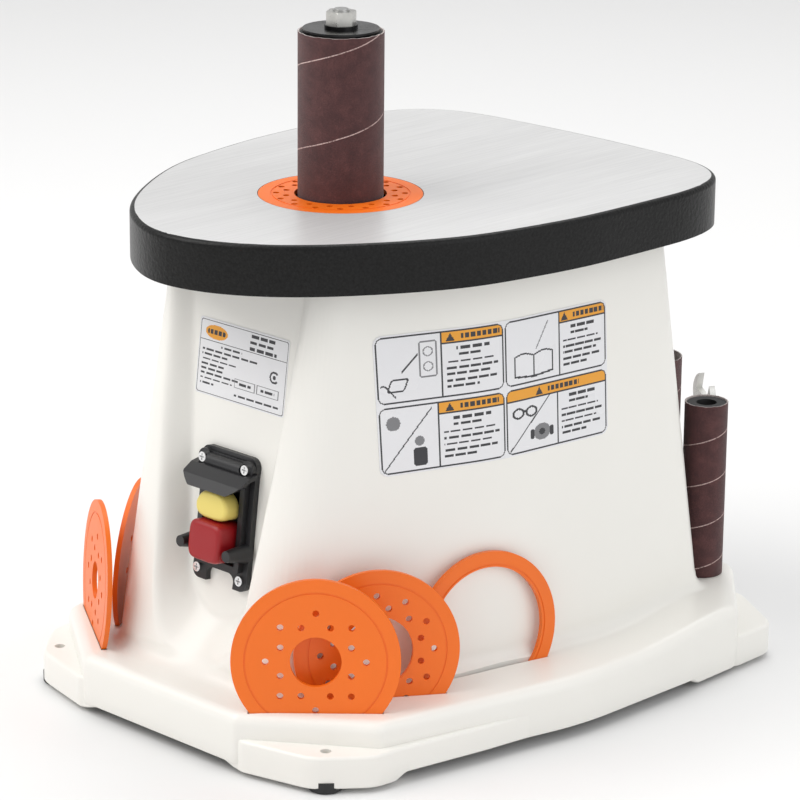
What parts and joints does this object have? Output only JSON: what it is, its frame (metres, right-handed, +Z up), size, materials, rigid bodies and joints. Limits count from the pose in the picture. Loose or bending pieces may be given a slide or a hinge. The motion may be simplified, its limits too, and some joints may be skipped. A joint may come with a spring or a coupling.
{
  "type": "oscillating spindle sander",
  "caption": "Bench-top sander: tapered moulded stand, nose-shaped iron table, vertical sanding spindle that turns and bobs, stored inserts and drums.",
  "frame": {"origin": "centre of the base footprint, on the surface that the feet stand on", "axes": "+Z up along the spindle, -Y to the front, +X to the right of someone standing in front"},
  "size_m": [0.342, 0.4, 0.423],
  "materials": {
    "white_moulding": "satin warm white",
    "black_rubber": "matt",
    "zinc_steel": "zinc plated",
    "cast_table": "ground top, black painted rim",
    "orange_plastic": "satin",
    "shaft_steel": "turned",
    "black_steel": "black oxide",
    "abrasive_cloth": "aluminium oxide cloth",
    "cast_grey": "as cast",
    "bronze": "oiled",
    "black_plastic": "fine texture",
    "red_plastic": "satin",
    "yellow_plastic": "satin",
    "label_film": "printed film",
    "copper_winding": "varnished windings"
  },
  "bodies": {
    "root": {"housing": "white_moulding", "rubber_feet": "black_rubber", "bottom_cover": "zinc_steel", "bottom_cover_screws": "zinc_steel", "table": "cast_table", "table_screws": "zinc_steel", "drive_frame": "cast_grey", "hub_bearings": "shaft_steel", "axle_bushes": "bronze", "guide_rods": "shaft_steel", "motor_can": "cast_grey", "motor_stator": "copper_winding", "motor_end_bells": "cast_grey", "drive_belt": "black_rubber", "start_capacitor": "black_plastic", "switch_plate": "black_plastic", "switch_hood": "black_plastic", "switch_body": "black_plastic", "switch_screws": "zinc_steel", "rating_label": "label_film", "caution_label": "label_film", "dust_port": "black_plastic", "cable_gland": "black_plastic"},
    "motor_shaft": {"motor_rotor": "shaft_steel", "motor_fan": "black_plastic", "motor_pulley": "black_plastic"},
    "hub": {"drive_hub": "shaft_steel", "hub_key": "shaft_steel", "spindle_pulley": "black_plastic"},
    "wheel": {"worm_wheel": "bronze", "crank_axle": "shaft_steel", "crank": "shaft_steel"},
    "rod": {"connecting_rod": "shaft_steel"},
    "lift_carriage": {"carriage": "cast_grey", "carriage_pin": "shaft_steel", "carriage_bearing": "shaft_steel"},
    "spindle_shaft": {"spindle": "shaft_steel", "spindle_ring": "shaft_steel", "drum_washer": "shaft_steel", "rubber_drum_2in": "black_rubber", "sanding_sleeve_2in": "abrasive_cloth", "top_washer": "black_steel", "nut_washer": "black_steel", "spindle_nut": "zinc_steel"},
    "paddle": {"switch_paddle": "red_plastic"},
    "key": {"safety_key": "yellow_plastic"},
    "seated_insert": {"table_insert_2in": "orange_plastic"},
    "stored_insert_1in": {"insert_1in": "orange_plastic"},
    "stored_insert_1_5in": {"insert_1_5in": "orange_plastic"},
    "stored_insert_3in": {"insert_3in": "orange_plastic"},
    "stored_insert_0_75in": {"insert_0_75in": "orange_plastic"},
    "stored_insert_0_5in": {"insert_0_5in": "orange_plastic"},
    "stored_drum_1in": {"rubber_drum_1in": "black_rubber", "sanding_sleeve_1in": "abrasive_cloth"},
    "stored_sleeve_0_75in": {"sanding_sleeve_0_75in": "abrasive_cloth"},
    "stored_sleeve_1_5in": {"sanding_sleeve_1_5in": "abrasive_cloth"},
    "stored_drum_1_5in": {"rubber_drum_1_5in": "black_rubber"},
    "stored_drum_3in": {"rubber_drum_3in": "black_rubber", "sanding_sleeve_3in": "abrasive_cloth"},
    "spanner": {"wrench": "zinc_steel"}
  },
  "joints": [
    {"name": "motor_spin", "type": "hinge", "parent": "root", "child": "motor_shaft", "pos_m": [0, 0.05, 0.15], "axis": [0, 0, 1], "continuous": true},
    {"name": "hub_spin", "type": "hinge", "parent": "root", "child": "hub", "pos_m": [0, -0.0475, 0.2], "axis": [0, 0, 1], "continuous": true},
    {"name": "wheel_spin", "type": "hinge", "parent": "root", "child": "wheel", "pos_m": [0, -0.08538, 0.2], "axis": [1, 0, 0], "continuous": true},
    {"name": "rod_swing", "type": "hinge", "parent": "wheel", "child": "rod", "pos_m": [0.0365, -0.09337, 0.2], "axis": [1, 0, 0], "continuous": true},
    {"name": "carriage_slide", "type": "slide", "parent": "root", "child": "lift_carriage", "axis": [0, 0, 1], "range_m": [-0.008, 0.008]},
    {"name": "spindle_spin", "type": "hinge", "parent": "lift_carriage", "child": "spindle_shaft", "pos_m": [0, -0.0475, 0.3], "axis": [0, 0, 1], "continuous": true},
    {"name": "paddle_tilt", "type": "hinge", "parent": "root", "child": "paddle", "pos_m": [0, -0.14445, 0.1265], "axis": [1, 0, 0], "range_deg": [0, 6]},
    {"name": "key_pull", "type": "slide", "parent": "root", "child": "key", "axis": [0, -0.9925, 0.1219], "range_m": [0, 0.02]},
    {"name": "seated_insert_lift", "type": "slide", "parent": "root", "child": "seated_insert", "axis": [0, 0, 1], "range_m": [0, 0.12]},
    {"name": "insert_1in_lift", "type": "slide", "parent": "root", "child": "stored_insert_1in", "axis": [-0.0485, 0.0502, 0.9976], "range_m": [0, 0.06]},
    {"name": "insert_1_5in_lift", "type": "slide", "parent": "root", "child": "stored_insert_1_5in", "axis": [-0.0578, 0.039, 0.9976], "range_m": [0, 0.06]},
    {"name": "insert_3in_lift", "type": "slide", "parent": "root", "child": "stored_insert_3in", "axis": [-0.068, 0.0157, 0.9976], "range_m": [0, 0.06]},
    {"name": "insert_0_75in_lift", "type": "slide", "parent": "root", "child": "stored_insert_0_75in", "axis": [0.038, 0.0585, 0.9976], "range_m": [0, 0.06]},
    {"name": "insert_0_5in_lift", "type": "slide", "parent": "root", "child": "stored_insert_0_5in", "axis": [0.0578, 0.039, 0.9976], "range_m": [0, 0.06]},
    {"name": "drum_1in_lift", "type": "slide", "parent": "root", "child": "stored_drum_1in", "axis": [0, 0, 1], "range_m": [0, 0.09]},
    {"name": "sleeve_0_75in_lift", "type": "slide", "parent": "root", "child": "stored_sleeve_0_75in", "axis": [0, 0, 1], "range_m": [0, 0.09]},
    {"name": "sleeve_1_5in_lift", "type": "slide", "parent": "root", "child": "stored_sleeve_1_5in", "axis": [0, 0, 1], "range_m": [0, 0.022]},
    {"name": "drum_3in_lift", "type": "slide", "parent": "root", "child": "stored_drum_3in", "axis": [0, 0, 1], "range_m": [0, 0.023]},
    {"name": "drum_1_5in_lift", "type": "slide", "parent": "root", "child": "stored_drum_1_5in", "axis": [0, 0, 1], "range_m": [0, 0.022]},
    {"name": "wrench_lift", "type": "slide", "parent": "root", "child": "spanner", "axis": [0, 0, 1], "range_m": [0, 0.1]}
  ],
  "couplings": [
    {"joint": "hub_spin", "follows": "motor_spin", "ratio": 0.58823},
    {"joint": "spindle_spin", "follows": "motor_spin", "ratio": 0.58823},
    {"joint": "wheel_spin", "follows": "motor_spin", "ratio": 0.016807},
    {"joint": "rod_swing", "follows": "motor_spin", "ratio": -0.016807}
  ]
}
